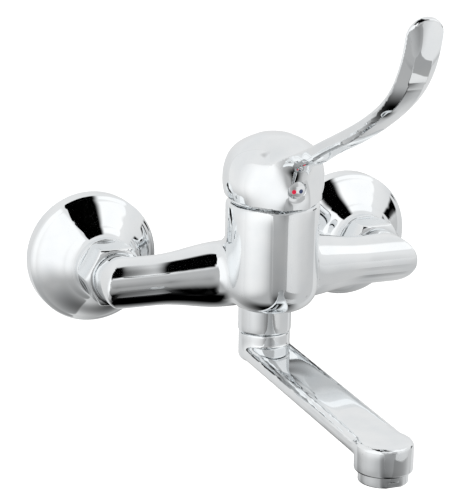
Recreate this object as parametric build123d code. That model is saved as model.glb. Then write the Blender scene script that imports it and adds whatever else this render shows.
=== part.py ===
from build123d import *
import math
import os

# Elbow lever tap for a wall: two inlets at 150 mm centres, a casting with two arms, a ceramic disc
# cartridge under a domed lever handle, and a swivelling spout hung below the body.
# Frame: the wall is the plane y = 0 and the tap stands out along -Y. +Z is up, +X is to the right.
# The origin is in the wall plane, midway between the two inlets. All lengths are in millimetres.

# Layout
inlet_spacing = 150.0
elbow_run = 21.0
spout_offset = 10.0
body_offset = 17.5
overrun = 5.0
running_gap = 0.05
thread_gap = 0.05
hair_gap = 0.3

# Wall flange, a spun shell that covers the hole in the wall
flange_radius = 35.0
flange_skirt_depth = 10.0
flange_shoulder_radius = 32.6
flange_neck_radius = 16.3
flange_nut_gap = 0.5
flange_neck_length = 3.0
flange_wall = 1.4
flange_waist_radius = 20.5
flange_waist_drop = 9.3
flange_shoulder_drop = 3.4

# Union between the wall pipe and the tap
wall_thread_radius = 10.48
wall_thread_length = 15.0
union_thread_radius = 13.22
union_length = 36.0
union_bore_radius = 5.6
union_key_width = 12.0
union_key_depth = 8.0

# Union washer with its filter mesh seat
washer_thickness = 2.0
washer_bore_radius = 8.0
washer_radius = 12.6

# Union nut, a hexagon with both ends chamfered
nut_across_flats = 30.0
nut_cover = 5.7
nut_reach = 10.9
nut_chamfer_angle = 30.0
nut_face_share = 0.97
nut_lip_bore_radius = 11.2
nut_clearance = 0.6
nut_end_gap = 0.4

# Tail bush that holds the union nut on the casting
bush_flange_radius = 12.9
bush_flange_thickness = 3.0
bush_shank_radius = 11.0
bush_screwed_depth = 8.0
bush_bore_radius = 7.0
bush_key_width = 13.0

# Body casting
body_radius = 24.5
body_bottom = -15.0
body_bottom_round = 13.0
body_top_round = 1.6
arm_end_radius = 13.1
arm_root_radius = 17.4
arm_root_x = 20.0
arm_straight = 16.0
arm_bore_radius = 6.0
arm_bore_stop = 6.0
arm_fillet = 7.0
floor_height = 9.5
chamber_radius = 17.6
nut_thread_radius = 19.2
port_radius = 3.0
port_side = 7.5
port_back = 7.5
outlet_port_radius = 3.6
outlet_port_front = 8.0
nipple_radius = 11.9
nipple_bore_radius = 9.6
nipple_end = -24.0
nipple_bore_top = -11.0

# Spout nut, the plain collar below the body
collar_radius = 13.9
collar_top = -13.9
collar_end = -29.2
collar_lip = 2.4
collar_lip_bore_radius = 9.8
collar_edge_round = 0.4

# Spout
spout_reach = 144.5
spout_slope = 1.4
spout_top = -29.6
boss_radius = 13.5
boss_bottom = -45.55
boss_round = 3.0
spout_width = 26.9
tube_top = -35.8
tube_height = 9.6
tube_edge_round = 4.2
outlet_radius = 14.0
outlet_bottom = -54.0
outlet_round = 2.6
outlet_lower_round = 0.8
neck_radius = 9.5
neck_bore_radius = 6.5
neck_top = -12.5
ring_groove_depth = 1.3
spout_bore_depth = 11.4
slide_ring_radius = 11.7
slide_ring_height = 2.2
seal_section_radius = 0.9
seal_first = -15.0
seal_pitch = 4.4
seal_count = 2
channel_width = 19.0
channel_height = 5.4

# Aerator at the end of the spout
aerator_radius = 12.0
aerator_bore_radius = 10.3
aerator_visible = 5.4
aerator_screwed = 4.6
aerator_wall_lip = 1.6
aerator_flats_count = 2
aerator_flat_depth = 0.7
aerator_flat_height = 3.0
insert_radius = 9.9
insert_height = 6.8
insert_mesh_pitch = 2.2
insert_hole = 1.3
insert_plate = 1.2
insert_skirt_wall = 1.2
aerator_washer_thickness = 1.4
aerator_washer_bore_radius = 8.6

# Cartridge. Heights in this part of the list and below are measured from the lever's pivot
pivot_rise = 5.5
cartridge_radius = 17.3
base_height = 4.5
base_seal_section = 0.8
base_seal_recess = 1.5
base_spigot_radius = 15.5
disc_radius = 13.4
fixed_disc_height = 3.0
moving_disc_radius = 10.6
moving_disc_height = 3.0
disc_pocket_width = 11.0
disc_pocket_depth = 1.6
disc_pocket_length = 13.0
carrier_radius = 10.6
carrier_height = 4.5
carrier_socket_depth = 3.4
housing_bore_radius = 14.4
housing_shoulder_height = 1.2
housing_neck_radius = 14.3
housing_neck_top = 7.6
housing_lip_bottom = -1.8
nut_thread_start = -1.0
body_top = 12.4
rotor_flange_radius = 14.2
rotor_neck_radius = 11.8
rotor_top = 9.6
rotor_bottom_gap = 0.4
rotor_slot_length = 14.0
stem_width = 8.0
stem_depth = 7.0
stem_top = 36.0
stem_heel = 3.2
stem_finger_radius = 2.4
stem_neck_radius = 1.8
stem_finger_reach = 6.0
stem_slot_gap = 0.1
stem_closed_angle = 12.5
stem_pin_radius = 1.5
stem_pin_length = 23.0
stem_cap_chamfer = 0.8

# Cartridge nut
clamp_nut_bore_radius = 14.6
clamp_nut_top = 11.0
clamp_nut_notches = 4
clamp_nut_notch_width = 4.0
clamp_nut_notch_depth = 2.2

# Cover ring, a slice of a sphere about the pivot
cover_sphere_radius = 25.2
cover_wall = 1.8
cover_hole_radius = 14.4
cover_spigot_radius = 18.9
cover_spigot_wall = 1.5

# Handle: dome, nose and elbow lever
dome_rim_front = 14.0
dome_rim_back = 16.6
dome_rim_radius = 24.4
dome_waist_radius = 26.3
dome_waist_height = 22.5
dome_belly_radius = 25.6
dome_belly_height = 31.0
dome_shoulder_radius = 20.3
dome_shoulder_height = 40.8
dome_crown_radius = 9.5
dome_crown_height = 46.8
dome_rim_lean_share = 0.45
dome_top = 47.6
dome_wall = 2.4
dome_inner_radius = 22.9
dome_roof = 4.5
nose_reach = 30.2
nose_half_width = 6.6
nose_button_half_width = 5.7
nose_ridge_half_width = 2.4
nose_ridge_height = 35.0
nose_ridge_reach = 33.6
nose_cheek_x = 20.5
nose_cheek_y = 16.1
nose_crease_low = 30.8
nose_crease_start = 13.9
nose_crease_high = 42.0
nose_crease_end = 30.7
handle_boss_radius = 8.0
handle_boss_start = 22.0
handle_socket_gap = 0.1
handle_socket_top = 37.0
handle_tunnel_radius = 3.8

# Elbow lever: stations along its upper line. Those of the root have a reach in front of the handle axis
# and a height, and each later one a run and a rise from the one before. The flank is the upright part
# of the lever's side, and the bulge rounds the side below it
lever_width = 12.0
lever_depth = 6.7
lever_flank = 3.6
lever_keel_width = 4.8
lever_crown = 0.9
lever_bulge_share = 0.2
lever_flat_bulge_share = 0.03
lever_hidden_reach = 9.0
lever_hidden_height = 28.0
lever_hidden_width = 45.0
lever_hidden_crown = 18.6
lever_shoulder_reach = 18.8
lever_shoulder_height = 33.9
lever_shoulder_width = 35.6
lever_shoulder_crown = 8.4
lever_neck_reach = 24.6
lever_neck_height = 37.8
lever_neck_width = 24.0
lever_neck_crown = 3.0
lever_fan_depth = 5.6
lever_fan_flank = 1.4
lever_root_reach = 31.0
lever_root_height = 41.6
lever_root_width = 18.6
lever_root_crown = 1.2
lever_root_depth = 12.5
lever_root_keel_width = 9.0
lever_throat_reach = 35.0
lever_throat_height = 43.6
lever_throat_width = 16.4
lever_throat_depth = 8.8
lever_throat_flank = 2.4
lever_throat_bulge_share = 0.1
lever_stem_reach = 46.5
lever_stem_height = 48.7
lever_stem_width = 13.4
lever_stem_depth = 7.2
lever_stem_flank = 3.2
lever_shank_run = 17.5
lever_shank_rise = 7.9
lever_mid_run = 22.0
lever_mid_rise = 9.7
lever_knee_run = 43.0
lever_knee_rise = 20.9
lever_knee_width = 15.0
lever_knee_depth = 5.2
lever_knee_flank = 2.4
lever_knee_keel_width = 6.0
lever_knee_bulge_share = 0.12
lever_bend_run = 19.2
lever_bend_rise = 14.8
lever_bend_width = 17.6
lever_bend_depth = 5.0
lever_bend_flank = 1.5
lever_bend_keel_width = 8.0
lever_paddle_run = 9.0
lever_paddle_rise = 15.8
lever_paddle_depth = 4.0
lever_pad_run = 2.9
lever_pad_rise = 10.2
lever_pad_width = 18.4
lever_pad_depth = 3.2
lever_pad_flank = 1.2
lever_pad_keel_width = 8.6
lever_tip_run = 2.1
lever_tip_rise = 5.8
lever_tip_depth = 2.6

# Grub screw and index button
button_height = 24.8
button_radius = 4.5
button_plug_radius = 2.9
button_thickness = 2.6
button_plug_length = 5.0
button_crown = 0.6
button_proud = 0.7
button_gap = 0.1
grub_radius = 2.5
grub_length = 6.0
grub_key_width = 2.5
grub_key_depth = 2.6
grub_tool_radius = 3.0

half_spacing = inlet_spacing / 2
arm_standoff = union_length + elbow_run
spout_standoff = arm_standoff + spout_offset
body_standoff = arm_standoff + body_offset
nut_start = union_length - nut_cover
nut_end = union_length + nut_reach
flange_depth = nut_start - flange_nut_gap
flange_waist_depth = flange_depth - flange_waist_drop
tail_start = nut_end + nut_end_gap
carrier_top = -pivot_rise
moving_disc_top = carrier_top - carrier_height
fixed_disc_top = moving_disc_top - moving_disc_height
base_top = fixed_disc_top - fixed_disc_height
base_bottom = base_top - base_height
base_step = base_bottom + base_height / 2
pivot_height = floor_height - base_bottom
trunk_top = pivot_height + body_top
tilt = math.radians(stem_closed_angle)
arm_y = -arm_standoff
spout_y = -spout_standoff
body_y = -body_standoff
outlet_y = spout_y - spout_reach
body_axis = Pos(0, body_y, 0)
spout_axis = Pos(0, spout_y, 0)
outlet_axis = Pos(0, outlet_y, 0)
pivot_axis = Pos(0, body_y, pivot_height)
pivot = Vector(0, body_y, pivot_height)
stem_frame = Plane(origin=pivot, x_dir=(1, 0, 0), z_dir=(0, -math.sin(tilt), math.cos(tilt)))
os.makedirs("parts", exist_ok=True)


def save(name, shape):
    """Write one piece to its own file."""
    export_step(shape, f"parts/{name}.step")
    return shape


def turned_z(*points):
    """Solid turned about Z from (radius, height) points."""
    return revolve(Plane.XZ * make_face(Polyline(*points, close=True)), Axis.Z)


def turned_y(*points):
    """Solid turned about Y from (radius, distance from the wall) points."""
    outline = [(radius, -distance) for radius, distance in points]
    return revolve(make_face(Polyline(*outline, close=True)), Axis.Y)


def disc(radius, low, high):
    """Upright cylinder between two heights."""
    return turned_z((0, low), (radius, low), (radius, high), (0, high))


def ring(outer, inner, low, high):
    """Upright ring between two heights."""
    return turned_z((inner, low), (outer, low), (outer, high), (inner, high))


def rod_y(radius, near, far):
    """Cylinder square to the wall, between two distances from it."""
    return turned_y((0, near), (radius, near), (radius, far), (0, far))


def ring_y(outer, inner, near, far):
    """Ring square to the wall, between two distances from it."""
    return turned_y((inner, near), (outer, near), (outer, far), (inner, far))


def rod_between(start, end, radius):
    """Cylinder from one point to another."""
    run = Vector(*end) - Vector(*start)
    return Plane(origin=start, z_dir=run) * extrude(Circle(radius), run.length)


def flange_bell(inset):
    """Solid bell of the wall flange, drawn in and back by the inset."""
    front = flange_depth - flange_neck_length
    start = (flange_radius - inset, -(flange_skirt_depth - flange_shoulder_drop - inset))
    bell = Spline(
        start,
        (flange_shoulder_radius - inset, -(flange_skirt_depth - inset)),
        (flange_waist_radius - inset, -(flange_waist_depth - inset)),
        (flange_neck_radius - inset, -(front - inset)),
        tangents=[(0, -1), (0, -1)],
    )
    skirt = Line((flange_radius - inset, 0), start)
    back = Polyline(bell @ 1, (0, inset - front), (0, 0), (flange_radius - inset, 0))
    return revolve(make_face([skirt, bell, back]), Axis.Y)


def make_flange():
    """Spun wall flange with a screwed neck."""
    neck_start = flange_depth - flange_neck_length
    shell = flange_bell(0) + rod_y(flange_neck_radius, neck_start, flange_depth) - flange_bell(flange_wall)
    return shell - rod_y(union_thread_radius + thread_gap, 0, flange_depth + overrun)


def make_union():
    """Union with the wall thread behind and the larger tap thread in front."""
    body = rod_y(wall_thread_radius, -wall_thread_length, 0)
    body += rod_y(union_thread_radius, 0, union_length)
    body -= rod_y(union_bore_radius, -(wall_thread_length + overrun), union_length + overrun)
    key = RegularPolygon(union_key_width / 2, 6, major_radius=False)
    key_plane = Plane(origin=(0, -union_length, 0), x_dir=(1, 0, 0), z_dir=(0, 1, 0))
    return body - key_plane * extrude(key, union_key_depth)


def make_washer():
    """Flat seal between the union and the tail bush."""
    return ring_y(washer_radius, washer_bore_radius, union_length, union_length + washer_thickness)


def make_bush():
    """Bush screwed into the casting, whose flange holds the union nut."""
    seat = union_length + washer_thickness
    body = rod_y(bush_flange_radius, seat, seat + bush_flange_thickness)
    body += rod_y(bush_shank_radius, seat, tail_start + bush_screwed_depth)
    body -= rod_y(bush_bore_radius, seat - overrun, tail_start + bush_screwed_depth + overrun)
    key = RegularPolygon(bush_key_width / 2, 6, major_radius=False)
    key_plane = Plane(origin=(0, -seat, 0), x_dir=(1, 0, 0), z_dir=(0, -1, 0))
    return body - key_plane * extrude(key, bush_screwed_depth)


def make_union_nut():
    """Hexagon union nut with chamfered ends and an inner lip."""
    lip = union_length + washer_thickness + bush_flange_thickness
    length = nut_end - nut_start
    corner = nut_across_flats / 2 / math.cos(math.pi / 6)
    face = nut_across_flats / 2 * nut_face_share
    slope = (corner - face) * math.tan(math.radians(nut_chamfer_angle))
    plane = Plane(origin=(0, -nut_start, 0), x_dir=(1, 0, 0), z_dir=(0, -1, 0))
    blank = plane * extrude(RegularPolygon(nut_across_flats / 2, 6, major_radius=False), length)
    envelope = turned_y(
        (0, nut_start), (face, nut_start), (corner, nut_start + slope),
        (corner, nut_end - slope), (face, nut_end), (0, nut_end),
    )
    nut = blank & envelope
    nut -= rod_y(union_thread_radius + thread_gap, nut_start - overrun, lip)
    return nut - rod_y(nut_lip_bore_radius, lip - overrun, nut_end + overrun)


def make_arm():
    """Right arm with its mitred elbow and the tail towards the wall, solid."""
    reach = half_spacing + arm_end_radius
    root = Polyline((0, 0), (0, arm_root_radius), (arm_root_x, arm_root_radius))
    straight = (half_spacing - arm_straight, arm_end_radius)
    flare = Spline(root @ 1, straight, tangents=[(1, 0), (1, 0)])
    end = Polyline(flare @ 1, (reach, arm_end_radius), (reach, 0), (0, 0))
    arm = Pos(0, arm_y, 0) * revolve(make_face([root, flare, end]), Axis.X)
    tail = Pos(half_spacing, 0, 0) * rod_y(arm_end_radius, tail_start, arm_standoff + arm_end_radius)
    corner = Plane(origin=(half_spacing, arm_y, 0), x_dir=(1, -1, 0), z_dir=(0, 0, 1))
    size = inlet_spacing + body_standoff
    arm_side = corner * (Pos(0, -size / 2, 0) * Box(size + size, size, size))
    tail_side = corner * (Pos(0, size / 2, 0) * Box(size, size, size))
    return (arm & arm_side) + (tail & tail_side)


def arm_seams(shape):
    """Edges where the arms run into the trunk of the body."""
    seams = []
    for edge in shape.edges():
        if edge.geom_type in (GeomType.LINE, GeomType.CIRCLE):
            continue
        middle = edge @ 0.5
        if abs(middle.X) < body_radius + arm_fillet and middle.Z < trunk_top - arm_root_radius:
            seams.append(edge)
    return seams


def make_body():
    """Casting: trunk, two arms with elbows, water ways, cartridge chamber and threaded nipple."""
    trunk = body_axis * disc(body_radius, body_bottom, trunk_top)
    trunk = fillet(trunk.edges().sort_by(Axis.Z)[0], body_bottom_round)
    trunk = fillet(trunk.edges().sort_by(Axis.Z)[-1], body_top_round)
    arm = make_arm()
    casting = trunk + arm + mirror(arm, Plane.YZ)
    casting = fillet(arm_seams(casting), arm_fillet)
    casting -= spout_axis * disc(collar_radius + hair_gap, nipple_end - overrun, collar_top + hair_gap)
    casting += spout_axis * disc(nipple_radius, nipple_end, body_bottom + body_bottom_round)
    casting -= body_axis * disc(chamber_radius, floor_height, trunk_top + overrun)
    casting -= body_axis * disc(nut_thread_radius, pivot_height + nut_thread_start, trunk_top + overrun)
    casting -= spout_axis * disc(nipple_bore_radius, nipple_end - overrun, nipple_bore_top)
    outlet = (0, body_y - outlet_port_front, floor_height + overrun)
    chamber = (0, spout_y, nipple_bore_top - nipple_bore_radius / 2)
    casting -= rod_between(outlet, chamber, outlet_port_radius)
    for side in (-1, 1):
        port = (side * port_side, body_y + port_back, floor_height + overrun / 2)
        bore = (side * (arm_bore_stop + port_radius), arm_y, 0)
        casting -= rod_between(port, bore, port_radius)
        inner_end = (side * arm_bore_stop, arm_y, 0)
        casting -= rod_between(inner_end, (side * half_spacing, arm_y, 0), arm_bore_radius)
        tail_axis = Pos(side * half_spacing, 0, 0)
        casting -= tail_axis * rod_y(arm_bore_radius, tail_start, arm_standoff)
        spot_radius = nut_across_flats / 2 / math.cos(math.pi / 6) + nut_clearance
        casting -= tail_axis * rod_y(spot_radius, 0, tail_start)
        seat = tail_start + bush_screwed_depth
        casting -= tail_axis * rod_y(bush_shank_radius + thread_gap, tail_start - overrun, seat)
    return casting


def make_spout_nut():
    """Plain collar that screws on the nipple and carries the spout's slide ring."""
    nut = disc(collar_radius, collar_end, collar_top)
    nut = fillet(nut.edges().sort_by(Axis.Z)[0], collar_edge_round)
    nut -= disc(nipple_radius + thread_gap, collar_end + collar_lip, collar_top + overrun)
    return spout_axis * (nut - disc(collar_lip_bore_radius, collar_end - overrun, collar_top))


def slide_ring_heights():
    """Lower and upper face of the slide ring, which rests on the nut's lip."""
    low = collar_end + collar_lip + running_gap
    return low, low + slide_ring_height


def seal_heights():
    """Heights of the O-rings on the spout's neck."""
    return [seal_first - index * seal_pitch for index in range(seal_count)]


def make_spout():
    """Spout casting: neck, boss, flat tube and round outlet, with its water way."""
    boss = disc(boss_radius, boss_bottom, spout_top)
    boss = spout_axis * fillet(boss.edges().sort_by(Axis.Z)[0], boss_round)
    slope = math.radians(spout_slope)
    upward = (0, -math.sin(slope), math.cos(slope))
    roof = Plane(origin=(0, spout_y, tube_top), x_dir=(1, 0, 0), z_dir=upward)
    outlet = outlet_axis * disc(outlet_radius, outlet_bottom, tube_top + overrun)
    outlet -= roof * extrude(Rectangle(spout_reach * 3, spout_reach * 3), spout_reach)
    outlet = fillet(outlet.edges().sort_by(Axis.Z)[-1], outlet_round)
    outlet = fillet(outlet.edges().sort_by(Axis.Z)[0], outlet_lower_round)
    middle = tube_top - tube_height / 2
    outward = (0, -math.cos(slope), -math.sin(slope))
    plane = Plane(origin=(0, spout_y, middle), x_dir=(1, 0, 0), z_dir=outward)
    length = spout_reach / math.cos(slope)
    tube = plane * extrude(RectangleRounded(spout_width, tube_height, tube_edge_round), length)
    spout = boss + outlet + tube + spout_axis * disc(neck_radius, spout_top - overrun, neck_top)
    low, high = slide_ring_heights()
    groove = neck_radius - ring_groove_depth
    spout -= spout_axis * ring(neck_radius + overrun, groove, low - running_gap / 2, high + running_gap / 2)
    for height in seal_heights():
        half = seal_section_radius + running_gap
        bottom = nipple_bore_radius - 2 * half - running_gap
        spout -= spout_axis * ring(neck_radius + overrun, bottom, height - half, height + half)
    channel = plane * extrude(Rectangle(channel_width, channel_height), length)
    spout -= channel
    spout -= spout_axis * disc(neck_bore_radius, spout_top - spout_bore_depth, neck_top + overrun)
    washer_top = outlet_bottom + aerator_screwed + aerator_washer_thickness
    spout -= outlet_axis * disc(aerator_radius, outlet_bottom - overrun, washer_top)
    way = disc(aerator_washer_bore_radius, washer_top - overrun, washer_top + overrun)
    return spout - outlet_axis * way


def make_slide_ring():
    """Split plastic ring in the neck's groove."""
    low, high = slide_ring_heights()
    inner = neck_radius - ring_groove_depth + running_gap
    body = ring(slide_ring_radius, inner, low, high)
    block = Box(hair_gap, slide_ring_radius, slide_ring_height)
    return spout_axis * (body - Pos(0, slide_ring_radius, (low + high) / 2) * block)


def make_spout_seals():
    """Two O-rings on the spout's neck."""
    radius = nipple_bore_radius - running_gap - seal_section_radius
    seal = Torus(radius, seal_section_radius)
    return Compound(children=[spout_axis * Pos(0, 0, height) * seal for height in seal_heights()])


def make_aerator_housing():
    """Screwed sleeve of the aerator with two spanner flats."""
    low = outlet_bottom - aerator_visible
    high = outlet_bottom + aerator_screwed
    sleeve = disc(aerator_radius - thread_gap, low, high)
    sleeve -= disc(aerator_bore_radius, low + aerator_wall_lip, high + overrun)
    sleeve -= disc(insert_radius - insert_skirt_wall, low - overrun, high)
    reach = aerator_radius - aerator_flat_depth + overrun / 2
    block = Box(aerator_radius * 2, overrun, aerator_flat_height)
    for turn in range(aerator_flats_count):
        place = Rot(0, 0, turn * 360 / aerator_flats_count) * Pos(0, reach, low + aerator_flat_height / 2)
        sleeve -= place * block
    return outlet_axis * sleeve


def make_aerator_insert():
    """Plastic insert with a grid of small square holes."""
    low = outlet_bottom - aerator_visible + aerator_wall_lip
    cup = disc(insert_radius, low, low + insert_height)
    cup -= disc(insert_radius - insert_skirt_wall, low + insert_plate, low + insert_height + overrun)
    reach = int((insert_radius - insert_skirt_wall) / insert_mesh_pitch)
    hole_reach = insert_radius - insert_skirt_wall - insert_hole
    holes = []
    for column in range(-reach, reach + 1):
        for row in range(-reach, reach + 1):
            x = column * insert_mesh_pitch
            y = row * insert_mesh_pitch
            if math.hypot(x, y) < hole_reach:
                holes.append(Pos(x, y, low) * Box(insert_hole, insert_hole, insert_plate * 4))
    return outlet_axis * (cup - holes)


def make_aerator_washer():
    """Flat seal above the aerator."""
    low = outlet_bottom + aerator_screwed
    high = low + aerator_washer_thickness
    return outlet_axis * ring(aerator_radius - thread_gap, aerator_washer_bore_radius, low, high)


finger_offset = stem_finger_reach * math.sin(tilt)


def port_places():
    """Places and radii of the three water ports, about the cartridge axis."""
    return [
        (-port_side, port_back, port_radius),
        (port_side, port_back, port_radius),
        (0, -outlet_port_front, outlet_port_radius),
    ]


def drilled(shape, low, high):
    """Shape with the three water ports cut through it."""
    for x, y, radius in port_places():
        shape -= Pos(x, y, 0) * disc(radius, low - overrun, high + overrun)
    return shape


def make_cartridge_base():
    """Lower plastic part of the cartridge with pockets for its three seals."""
    base = disc(cartridge_radius, base_bottom, base_step)
    base += disc(base_spigot_radius, base_bottom, base_top)
    for x, y, radius in port_places():
        pocket = radius + base_seal_section * 2
        base -= Pos(x, y, 0) * disc(pocket, base_bottom - overrun, base_bottom + base_seal_recess)
    return pivot_axis * drilled(base, base_bottom, base_top)


def make_base_seals():
    """Three flat rings round the ports, in one group."""
    seals = []
    top = base_bottom + base_seal_recess
    for x, y, radius in port_places():
        outer = radius + base_seal_section * 2 - running_gap
        inner = radius + base_seal_section - running_gap
        seals.append(pivot_axis * Pos(x, y, 0) * ring(outer, inner, base_bottom, top))
    return Compound(children=seals)


def make_fixed_disc():
    """Fixed ceramic disc with three ports."""
    return pivot_axis * drilled(disc(disc_radius, base_top, fixed_disc_top), base_top, fixed_disc_top)


def make_moving_disc():
    """Moving ceramic disc with a mixing pocket in its underside."""
    body = disc(moving_disc_radius, fixed_disc_top, moving_disc_top)
    outline = RectangleRounded(disc_pocket_width, disc_pocket_length, disc_pocket_width / 3)
    pocket = Pos(0, 0, fixed_disc_top) * extrude(outline, disc_pocket_depth)
    return pivot_axis * Pos(0, finger_offset, 0) * (body - pocket)


def make_carrier():
    """Plastic carrier that takes the stem's finger and moves the disc."""
    body = disc(carrier_radius, moving_disc_top, carrier_top)
    low = carrier_top - carrier_socket_depth
    socket = disc(stem_finger_radius + running_gap, low, carrier_top + overrun)
    return pivot_axis * Pos(0, finger_offset, 0) * (body - socket)


def make_housing():
    """Cartridge housing with the shoulder that its nut presses on."""
    body = disc(cartridge_radius, base_step, housing_shoulder_height)
    body += disc(housing_neck_radius, base_step, housing_neck_top)
    body -= disc(base_spigot_radius + running_gap, base_step - overrun, base_top)
    body -= disc(housing_bore_radius, base_top - overrun, housing_lip_bottom)
    return pivot_axis * (body - disc(rotor_neck_radius + running_gap, base_top, housing_neck_top + overrun))


def make_rotor():
    """Rotor that turns in the housing and carries the stem's hinge pin."""
    low = carrier_top + rotor_bottom_gap
    body = disc(rotor_flange_radius, low, housing_lip_bottom - running_gap)
    body += disc(rotor_neck_radius, low, rotor_top)
    width = stem_width + 2 * stem_slot_gap
    slot = Pos(0, 0, (low + rotor_top) / 2) * Box(width, rotor_slot_length, rotor_top - low + overrun)
    pin = rod_between((-cartridge_radius, 0, 0), (cartridge_radius, 0, 0), stem_pin_radius)
    return pivot_axis * (body - slot - pin)


def make_stem_pin():
    """Hinge pin of the stem."""
    half = stem_pin_length / 2
    radius = stem_pin_radius - running_gap
    return pivot_axis * rod_between((-half, 0, 0), (half, 0, 0), radius)


def make_stem():
    """Brass stem: square shank, hinge hole and round finger, leaning forward when closed."""
    length = stem_top + stem_heel
    shank = Pos(0, 0, stem_top - length / 2) * Box(stem_width, stem_depth, length)
    shank = chamfer(shank.edges().group_by(Axis.Z)[-1], stem_cap_chamfer)
    finger = Pos(0, 0, -stem_finger_reach / 2) * Cylinder(stem_neck_radius, stem_finger_reach)
    finger += Pos(0, 0, -stem_finger_reach) * Sphere(stem_finger_radius)
    hole = Rot(0, 90, 0) * Cylinder(stem_pin_radius, stem_width + overrun)
    return stem_frame * (shank + finger - hole)


def make_clamp_nut():
    """Ring nut that clamps the cartridge, with notches for its spanner."""
    outer = nut_thread_radius - thread_gap
    body = ring(outer, clamp_nut_bore_radius, housing_shoulder_height, clamp_nut_top)
    block = Box(nut_thread_radius, clamp_nut_notch_width, clamp_nut_notch_depth)
    notch = Pos(nut_thread_radius, 0, clamp_nut_top - clamp_nut_notch_depth / 2) * block
    for index in range(clamp_nut_notches):
        body -= Rot(0, 0, index * 360 / clamp_nut_notches) * notch
    return pivot_axis * body


def make_cover_ring():
    """Cover ring over the nut: a slice of a hollow sphere about the pivot, with a spigot below."""
    shell = Sphere(cover_sphere_radius) - Sphere(cover_sphere_radius - cover_wall)
    shell &= disc(cover_sphere_radius, body_top, cover_sphere_radius)
    inner = cover_spigot_radius - cover_spigot_wall
    spigot = ring(cover_spigot_radius, inner, clamp_nut_top, cover_sphere_radius)
    spigot &= Sphere(cover_sphere_radius - cover_wall / 2)
    cover = shell + spigot
    return pivot_axis * (cover - disc(cover_hole_radius, clamp_nut_top, cover_sphere_radius))


def dome_blank():
    """Outer form of the handle's dome, solid."""
    rim = Line((0, dome_rim_front), (dome_rim_radius, dome_rim_front))
    side = Spline(
        rim @ 1,
        (dome_waist_radius, dome_waist_height),
        (dome_belly_radius, dome_belly_height),
        (dome_shoulder_radius, dome_shoulder_height),
        (dome_crown_radius, dome_crown_height),
        (0, dome_top),
        tangents=[(dome_rim_lean_share, 1), (-1, 0)],
    )
    axis = Line(side @ 1, rim @ 0)
    return revolve(Plane.XZ * make_face([rim, side, axis]), Axis.Z)


def dome_cavity():
    """Hollow of the dome."""
    low = dome_rim_front - overrun
    wall = Polyline((0, low), (dome_inner_radius, low), (dome_inner_radius, dome_waist_height))
    roof = Spline(
        wall @ 1,
        (dome_shoulder_radius - dome_wall - dome_wall / 2, dome_shoulder_height - dome_wall),
        (0, dome_top - dome_roof),
        tangents=[(0, 1), (-1, 0)],
    )
    axis = Line(roof @ 1, wall @ 0)
    return revolve(Plane.XZ * make_face([wall, roof, axis]), Axis.Z)


def nose_section(height, reach, half_width):
    """Plan outline of the nose at one height."""
    inside = -nose_cheek_y / 2
    outline = Polyline(
        (-nose_cheek_x, inside), (-nose_cheek_x, -nose_cheek_y), (-half_width, -reach),
        (half_width, -reach), (nose_cheek_x, -nose_cheek_y), (nose_cheek_x, inside), close=True,
    )
    return Pos(0, 0, height) * make_face(outline)


def make_nose():
    """Nose below the lever: two flat cheeks and a narrow front strip, under a rising crease."""
    nose = loft(
        [
            nose_section(dome_rim_front, nose_reach, nose_half_width),
            nose_section(button_height, nose_reach, nose_button_half_width),
            nose_section(nose_ridge_height, nose_ridge_reach, nose_ridge_half_width),
        ],
        ruled=True,
    )
    neck = loft(
        [
            nose_section(nose_ridge_height, nose_ridge_reach, nose_ridge_half_width),
            nose_section(nose_crease_high, nose_ridge_reach, nose_ridge_half_width),
        ],
        ruled=True,
    )
    run = nose_crease_end - nose_crease_start
    slope = math.atan2(nose_crease_high - nose_crease_low, run)
    size = 2 * nose_ridge_reach
    cut = Pos(0, 0, size / 2) * Box(size + size, size + size, size)
    crease = Pos(0, -nose_crease_start, nose_crease_low) * Rot(-math.degrees(slope), 0, 0)
    return nose + neck - crease * cut


def lever_section(plane, width, depth, flank, keel, crown, bulge_share):
    """Cross-section of the lever: crowned above, upright flanks, and sides drawn in to a flat keel."""
    half = width / 2
    draw_in = half - keel / 2
    drop = depth - flank
    top = ThreePointArc((-half, 0), (0, crown), (half, 0))
    bulge = (half - draw_in / 2 + drop * bulge_share, -flank - drop / 2 - draw_in * bulge_share)
    right = ThreePointArc((half, -flank), bulge, (keel / 2, -depth))
    left = ThreePointArc((-keel / 2, -depth), (-bulge[0], bulge[1]), (-half, -flank))
    flanks = [Line((half, 0), (half, -flank)), Line((-half, -flank), (-half, 0))]
    bottom = Line((keel / 2, -depth), (-keel / 2, -depth))
    return plane * make_face([top, flanks[0], right, bottom, left, flanks[1]])


def upright_section(reach, height, *sizes):
    """Cross-section of the lever in an upright plane."""
    plane = Plane(origin=(0, -reach, height), x_dir=(1, 0, 0), z_dir=(0, -1, 0))
    return lever_section(plane, *sizes)


def root_sections():
    """Upright cross-sections of the lever's root, which fans out into the dome."""
    rows = [
        (lever_hidden_reach, lever_hidden_height, lever_hidden_width, lever_hidden_crown),
        (lever_shoulder_reach, lever_shoulder_height, lever_shoulder_width, lever_shoulder_crown),
        (lever_neck_reach, lever_neck_height, lever_neck_width, lever_neck_crown),
    ]
    lower = (lever_fan_depth, lever_fan_flank, lever_root_keel_width)
    return [
        upright_section(reach, height, width, *lower, crown, lever_flat_bulge_share)
        for reach, height, width, crown in rows
    ]


def throat_sections():
    """Upright cross-sections where the keel leaves the front strip of the nose."""
    root = upright_section(
        lever_root_reach, lever_root_height, lever_root_width, lever_root_depth, lever_fan_flank,
        lever_root_keel_width, lever_root_crown, lever_flat_bulge_share,
    )
    throat = upright_section(
        lever_throat_reach, lever_throat_height, lever_throat_width, lever_throat_depth, lever_throat_flank,
        lever_keel_width, lever_root_crown, lever_throat_bulge_share,
    )
    return [root, throat]


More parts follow.
